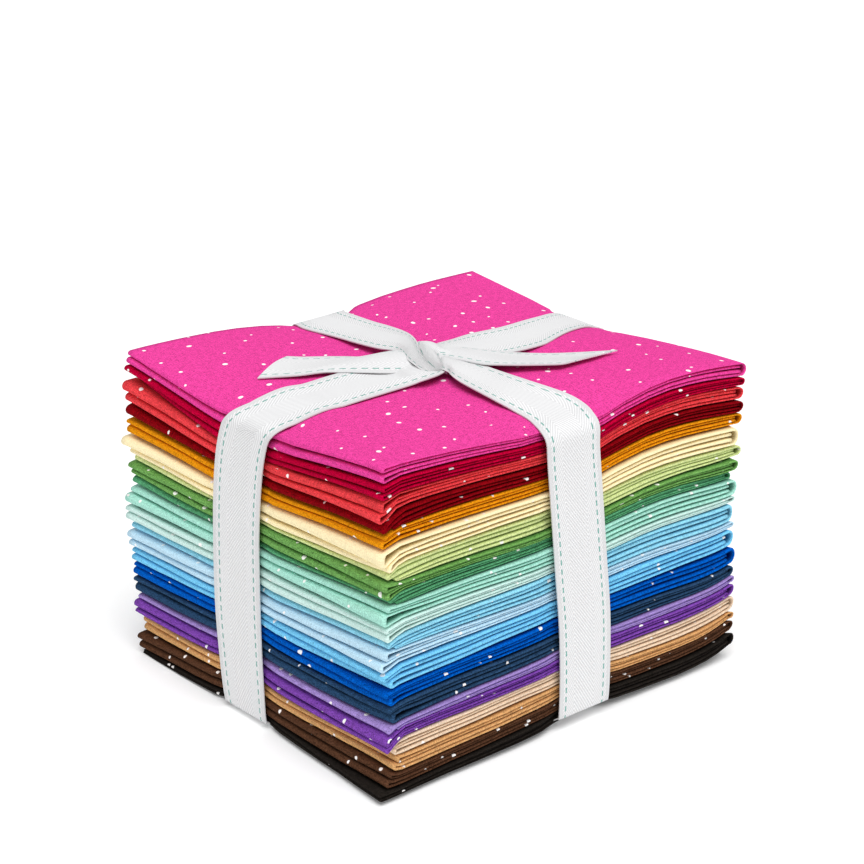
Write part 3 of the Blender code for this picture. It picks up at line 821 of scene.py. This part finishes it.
def twill(name):
    """White herringbone twill with a row of running stitch near each edge. U runs along the ribbon."""
    finish = Finish(name, roughness=0.8, shine=0.1)
    uv = finish.add("ShaderNodeUVMap", {"uv_map": "UVMap"}).outputs["UV"]
    place = finish.add("ShaderNodeSeparateXYZ", Vector=uv)
    along, across = place.outputs["X"], place.outputs["Y"]
    from_point = finish.math("PINGPONG", finish.math("SUBTRACT", across, POINT_AT), POINT_STEP)
    slant = finish.math("MULTIPLY_ADD", from_point, SLANT, along)
    line = finish.math("SINE", finish.math("MULTIPLY", slant, 2 * PI / RIDGE))
    woven = finish.math("LESS_THAN", finish.distance(across, RIBBON_MIDDLE), WOVEN_HALF)
    ridge = finish.math("MULTIPLY", finish.math("MULTIPLY_ADD", line, 0.5, 0.5), woven)
    grain = finish.add("ShaderNodeTexNoise", Vector=uv, Scale=2200.0, Detail=2.0).outputs["Fac"]
    tone = finish.math("MULTIPLY_ADD", ridge, RIDGE_LIGHTER, TWILL_WHITE)
    tone = finish.math("MULTIPLY_ADD", finish.math("SUBTRACT", grain, 0.5), TWILL_GRAIN, tone)
    cloth = finish.add("ShaderNodeCombineColor", Red=tone, Green=tone,
                       Blue=finish.math("MULTIPLY", tone, 1.01)).outputs[0]
    off_rows = [finish.distance(across, row) for row in STITCH_ROWS]
    on_row = finish.math("LESS_THAN", finish.math("MINIMUM", *off_rows), STITCH_HALF)
    beat = finish.math("FRACT", finish.math("DIVIDE", along, STITCH))
    stitched = finish.math("MULTIPLY", on_row, finish.math("LESS_THAN", beat, STITCH_ON_TOP))
    colour = finish.mix(stitched, cloth, linear("7DB2A8"))
    finish.feed(finish.shader.inputs["Base Color"], colour)
    height = finish.math("MULTIPLY_ADD", stitched, STITCH_TALL, ridge)
    bump = finish.add("ShaderNodeBump", Height=height, Strength=0.8, Distance=0.00015)
    finish.feed(finish.shader.inputs["Normal"], bump.outputs[0])
    return finish.material


# ----- The ribbon

RIBBON = 22.0           # its width
RIBBON_CLOTH = 0.36     # its thickness
OVER_CLOTH = 0.4        # the ribbon's middle lies this far above the cotton
OFF_FACES = 4           # from this far inside the faces on
ACROSS_STEPS = 10
CREASE_ANGLE = 35       # a sharper turn of the ribbon shows as an edge, in degrees

# A station of the ribbon, in millimetres: its two edges, and how far its middle stands above the line
# between them, if it does.
Station = namedtuple("Station", "first second crown", defaults=(0.0,))


def curve_through(points, steps):
    """A smooth curve through points, with so many steps from each to the next."""
    points = np.array(points, dtype=float)
    ends = np.vstack([2 * points[0] - points[1], points, 2 * points[-1] - points[-2]])
    spaced = []
    for n in range(1, len(ends) - 2):
        before, start, stop, after = ends[n - 1:n + 3]
        for t in np.arange(steps) / steps:
            spaced.append(0.5 * (
                2 * start + (stop - before) * t + (2 * before - 5 * start + 4 * stop - after) * t ** 2
                + (3 * start - before - 3 * stop + after) * t ** 3
            ))
    return np.array(spaced + [points[-1]])


def ribbon_strip(name, stations, steps):
    """A stretch of ribbon through its stations, which stays above the cotton where it lies on it."""
    stations = [Station(*row) for row in stations]
    first = curve_through([s.first for s in stations], steps)
    second = curve_through([s.second for s in stations], steps)
    crown = curve_through([(s.crown, 0, 0) for s in stations], steps)[:, 0]
    share = np.linspace(0, 1, ACROSS_STEPS + 1)[None, :]
    x, y, z = (first[:, n, None] + (second[:, n, None] - first[:, n, None]) * share for n in range(3))
    z = z + crown[:, None] * np.sin(PI * share)
    within = (x > LEFT + OFF_FACES) & (x < RIGHT - OFF_FACES)
    within = within & (y > NEAR + OFF_FACES) & (y < FAR - OFF_FACES)
    z = np.where(within & (z > MIDDLE_Z), np.maximum(z, stack_top(x, y) + OVER_CLOTH), z)
    middle = (first + second) / 2
    return cloth_grid(name, x, y, z, paces(middle.T)[-1], RIBBON, RIBBON_CLOTH)


def at_x(x, first_y, second_y, z, second_z=None):
    """The two edges of a station at one x."""
    return (x, first_y, z), (x, second_y, z if second_z is None else second_z)


def at_y(y, first_x, second_x, z, second_z=None):
    """The two edges of a station at one y."""
    return (first_x, y, z), (second_x, y, z if second_z is None else second_z)


# Where the ribbon hangs down the four faces.
LEFT_LINE = LEFT - 0.5
RIGHT_LINE = RIGHT + 0.5
NEAR_LINE = NEAR - 0.5
FAR_LINE = FAR + 0.5

# Round the stack along the strips: over the top to the left face, under, up the right face, to the knot.
ALONG_STACK = (
    ((-11, -18, 102), (-9, -8.4, 102.6)),
    ((-16.2, -20.5, 102.6), (-15.1, -7.6, 102.8), 0.3),
    ((-21.2, -20.7, 102.4), (-20, -4.3, 102.4), 0.3),
    ((-24.3, -18.6, 101.1), (-24.5, 1.8, 101), 0.1),
    ((-33, -18.2, 100.7), (-33.3, 3.5, 100.8)),
    ((-45, -17.6, 100.1), (-44.2, 4.8, 99.9)),
    ((-52, -15.2, 98.5), (-51, 7.4, 98.4)),
    ((-59.9, -14.5, 97.5), (-59.4, 7.7, 97.5)),
    ((-66.6, -13.9, 96.5), (-66.4, 7.9, 96.6)),
    ((-69.2, -12.1, 94.3), (-69.1, 9.7, 94.5)),
    at_x(LEFT_LINE, -9.4, 12.5, 90, 90.5),
    at_x(LEFT_LINE, -6.6, 15.9, 79),
    at_x(LEFT_LINE, -4.5, 18, 60),
    at_x(LEFT_LINE, -4.1, 18.6, 34),
    at_x(LEFT_LINE, -4.6, 17.2, 15),
    at_x(LEFT_LINE, -5.3, 15.4, 3.8, 3.4),
    at_x(LEFT + 0.4, -5.2, 15.2, 2.3, 1.9),
    at_x(LEFT + 3, -5, 15, 1, 0.8),
    at_x(LEFT + 7, -5, 15, 0.4),
    at_x(-30, -5.5, 16, 0.3),
    at_x(30, -5.5, 16.5, 0.3),
    at_x(RIGHT - 5, -5, 17, 0.3),
    at_x(RIGHT - 1.2, -5, 17, 0.9),
    at_x(RIGHT_LINE, -5, 17, 4.5),
    at_x(RIGHT_LINE, -4.5, 17.5, 34),
    at_x(RIGHT_LINE, -4, 18, 66),
    at_x(RIGHT_LINE, -3.4, 17, 90),
    at_x(RIGHT - 1, -3, 16.4, 94.4, 94.6),
    ((64, -2.4, 95.7), (64.5, 15, 96.2)),
    at_x(54, -6, 10.8, 97.4, 98.6),
    ((44.4, -9.3, 98.6), (44, 7.8, 100)),
    ((29.1, -15.3, 100.7), (30.7, 4.6, 101.2)),
    ((16, -17.7, 102), (16.9, 3.4, 102.2), 0.3),
    ((3.1, -18.6, 103.2), (7.7, 1, 103), 0.8),
    ((-3.3, -18, 104), (1.4, -0.8, 103.8), 1),
    ((-6.2, -15.1, 104.5), (-2.2, -2, 104.3), 1.3),
    ((-7.7, -13, 104.6), (-3.1, 1, 104.6), 1.6),
    ((-9.7, -14, 104.5), (-5.3, 2.2, 104.4), 1.9),
    ((-10.6, -15.8, 104.1), (-9.1, -3, 104.2), 2),
    ((-10.8, -17.1, 103.4), (-12, -8.1, 103.8), 1.8),
    ((-10.6, -17.7, 102.6), (-13.3, -12.4, 103.2), 1.4),
    ((-10.3, -17.8, 101.8), (-12.9, -15.3, 102.2), 0.8),
    ((-10.3, -17.7, 101), (-12.1, -16.2, 101), 0.3),
)
# Round the stack across the strips: to the near face, under, up the far face, and over the knot.
ACROSS_STACK = (
    ((-11.3, -13.9, 102.4), (-6.6, -8.3, 103.6), 0.3),
    ((-11.9, -18, 102.6), (-6.9, -11.6, 104.4), 0.9),
    ((-12, -20.3, 102.5), (-6.1, -13.6, 104.5), 1),
    ((-13.4, -23.8, 102.4), (-4.6, -16.3, 104), 0.8),
    ((-14, -27.9, 102), (-1.8, -19.8, 103.3), 0.5),
    ((-14.4, -33, 101.7), (1, -26.7, 102), 0.2),
    ((-14.5, -42.2, 100.8), (2.9, -37.5, 101.4)),
    ((-12.2, -48.6, 98.5), (7.8, -48, 99.3)),
    ((-11.4, -54.5, 96.8), (9.6, -54, 97.4)),
    ((-12.4, -59.7, 95.6), (8.4, -59.3, 96.1)),
    at_y(-62.1, -12.3, 8.1, 92.8, 93.3),
    at_y(NEAR_LINE, -11.5, 8.6, 86),
    at_y(NEAR_LINE, -9.8, 10.4, 71),
    at_y(NEAR_LINE, -7.7, 12.6, 52),
    at_y(NEAR_LINE, -5.7, 14.7, 34),
    at_y(NEAR_LINE, -4.9, 15.4, 18),
    at_y(NEAR_LINE, -5, 15.2, 5.8),
    at_y(NEAR + 0.5, -4.8, 15.2, 4.3),
    at_y(NEAR + 4, -4.6, 15.4, 2.2),
    at_y(NEAR + 9, -4.6, 15.4, 0.9),
    at_y(-20, -6, 15.5, 0.7),
    at_y(8, -7, 15, 0.9),
    at_y(34, -8, 14.5, 0.7),
    at_y(FAR - 5, -8, 14, 0.5),
    at_y(FAR - 1.2, -8, 14, 1.2),
    at_y(FAR_LINE, -8, 14, 5),
    at_y(FAR_LINE, -8, 13.8, 40),
    at_y(FAR_LINE, -7.8, 13.6, 75),
    at_y(FAR_LINE, -7.6, 13.6, 92),
    at_y(FAR - 1, -7.8, 13.2, 95.9, 96.2),
    ((-9.8, 56.3, 97.8), (11.6, 58.6, 97.7)),
    ((-13.3, 48, 99.2), (8.2, 53.8, 99)),
    ((-13.2, 37.9, 100.2), (6, 43.4, 100.2)),
    ((-13.3, 29.3, 100.9), (4.9, 34.9, 100.9)),
    ((-14, 19.5, 101.8), (3.6, 25.5, 102), 0.3),
    ((-13.9, 9.7, 102.6), (1.8, 17.1, 103), 0.8),
    ((-13.2, 3.2, 103.4), (-1, 9.9, 104), 1.1),
    ((-14.4, -1.7, 104), (-5, 2.6, 104.8), 1.2),
    ((-16.5, -6.5, 104.2), (-9.9, -4.3, 105), 1.2),
    ((-17.3, -10.7, 103.8), (-13.2, -9.8, 104.8), 1),
    ((-17.7, -14.5, 103.2), (-14.5, -14.1, 104.2), 0.8),
    ((-17, -17, 102.6), (-14.2, -16.6, 103.4), 0.6),
    ((-14.3, -17.9, 102), (-12.4, -17.4, 102.6), 0.4),
    ((-10.3, -17.2, 101.2), (-9.7, -16.9, 101.6), 0.2),
)
# The two free ends: the left one from its cut to the knot, the right one from the knot to its cut.
LEFT_END = (
    ((-52.6, 17.5, 99.8), (-35.5, 26, 100.6), 1),
    ((-48.5, 14, 100.2), (-33, 22, 100.9), 0.3),
    ((-43.5, 9.1, 100.9), (-28.3, 16.9, 101.3), 0.3),
    ((-37.8, 5.9, 101.3), (-24.9, 11.7, 101.9), 0.8),
    ((-33, 2.7, 101.2), (-22.3, 6.8, 102.6), 1.4),
    ((-28.5, -3.2, 101.6), (-17.7, 3.1, 103.8), 1.6),
    ((-22.9, -9.1, 101.8), (-13.7, 0.5, 104.2), 1.6),
    ((-15.3, -13.4, 101.8), (-11.1, -4.1, 103.8), 1),
)
RIGHT_END = (
    ((-8.7, -12.6, 104.6), (-1, -5.4, 104.6), 0.8),
    ((-5.3, -18.5, 104.3), (4.3, -10.2, 103.9), 0.8),
    ((-1.1, -23.4, 103.4), (10.2, -14.3, 102.9), 0.5),
    ((5.9, -26.9, 102.5), (16, -18.9, 102.1), 0.2),
    ((14.9, -32.2, 102), (24, -24.7, 101.6)),
    ((19.5, -34.5, 101.8), (33.2, -30.1, 101.4)),
    ((22.4, -34.9, 101.8), (41.8, -35.1, 101.4)),
)


def tied_ribbon():
    """The whole ribbon: two ways round the stack, which end in the knot's wraps, and two free ends."""
    strips = [
        ribbon_strip("way_along", ALONG_STACK, 5),
        ribbon_strip("way_across", ACROSS_STACK, 5),
        ribbon_strip("left_free_end", LEFT_END, 6),
        ribbon_strip("right_free_end", RIGHT_END, 6),
    ]
    bpy.ops.object.select_all(action="DESELECT")
    for strip in strips:
        strip.select_set(True)
    bpy.context.view_layer.objects.active = strips[0]
    bpy.ops.object.join()
    ribbon = bpy.context.object
    ribbon.name = "knotted_ribbon"
    ribbon.data.name = "knotted_ribbon"
    bpy.ops.object.shade_smooth_by_angle(angle=math.radians(CREASE_ANGLE))
    return ribbon


# ----- Camera, floor and light

# The camera that took the photo, as fitted to the stack's corners: its yaw is from +X towards +Y, and its
# pitch is downwards.
CAMERA_PLACE = (-0.3978, -0.4678, 0.3058)
CAMERA_YAW = math.radians(49.70)
CAMERA_PITCH = math.radians(20.56)
LENS = 90.25            # on a sensor 36 mm wide
WORLD_LIGHT = 0.49
FLOOR_GLOW = 0.08       # keeps the floor white round the stack


def photo_camera():
    camera = bpy.data.objects.new("camera", bpy.data.cameras.new("camera"))
    bpy.context.collection.objects.link(camera)
    camera.location = CAMERA_PLACE
    out = math.cos(CAMERA_PITCH)
    ahead = Vector((out * math.cos(CAMERA_YAW), out * math.sin(CAMERA_YAW), -math.sin(CAMERA_PITCH)))
    camera.rotation_euler = ahead.to_track_quat("-Z", "Y").to_euler()
    camera.data.lens = LENS
    camera.data.sensor_width = 36
    camera.data.clip_start = 0.01
    bpy.context.scene.camera = camera


def soft_light(name, towards, strength, spread):
    """A wide soft light from far off, which shines the way that towards says."""
    light = bpy.data.lights.new(name, "SUN")
    light.energy = strength
    light.angle = math.radians(spread)
    lamp = bpy.data.objects.new(name, light)
    bpy.context.collection.objects.link(lamp)
    lamp.rotation_euler = Vector(towards).to_track_quat("-Z", "Y").to_euler()


def studio():
    """A white floor, even light from all round, and one soft light from above."""
    bpy.ops.mesh.primitive_plane_add(size=40, location=(0, 0, 0))
    floor = bpy.context.object
    floor.name = "floor"
    paint = bpy.data.materials.new("white_floor")
    paint.use_nodes = True
    shader = paint.node_tree.nodes["Principled BSDF"]
    shader.inputs["Base Color"].default_value = (0.98, 0.98, 0.98, 1)
    shader.inputs["Roughness"].default_value = 0.9
    shader.inputs["Emission Color"].default_value = (1, 1, 1, 1)
    shader.inputs["Emission Strength"].default_value = FLOOR_GLOW
    floor.data.materials.append(paint)
    world = bpy.data.worlds.new("studio")
    world.use_nodes = True
    background = world.node_tree.nodes["Background"]
    background.inputs["Color"].default_value = (1, 1, 1, 1)
    background.inputs["Strength"].default_value = WORLD_LIGHT
    bpy.context.scene.world = world
    soft_light("top_light", towards=(0.28, 0.54, -1.3), strength=2.4, spread=50)
    bpy.context.scene.view_settings.view_transform = "Standard"


# ----- The bundle

def quarter_piece(number, quarter):
    """One folded quarter, with its cotton."""
    node = QUARTER_NODES[number]
    x, y, z, depth = folded_points(number)
    piece = cloth_grid(f"folded_{node}", x, y, z, CUT_ALONG, CUT_ACROSS, CLOTH, depth)
    piece.data.materials.append(cotton(f"cotton_{quarter.name}", quarter.colour, number))
    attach(piece, "root")
    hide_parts(node)


photo_camera()
studio()
for number, quarter in enumerate(QUARTERS):
    quarter_piece(number, quarter)
ribbon = tied_ribbon()
ribbon.data.materials.append(twill("twill_ribbon"))
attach(ribbon, "root")
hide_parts("tie_ribbon")
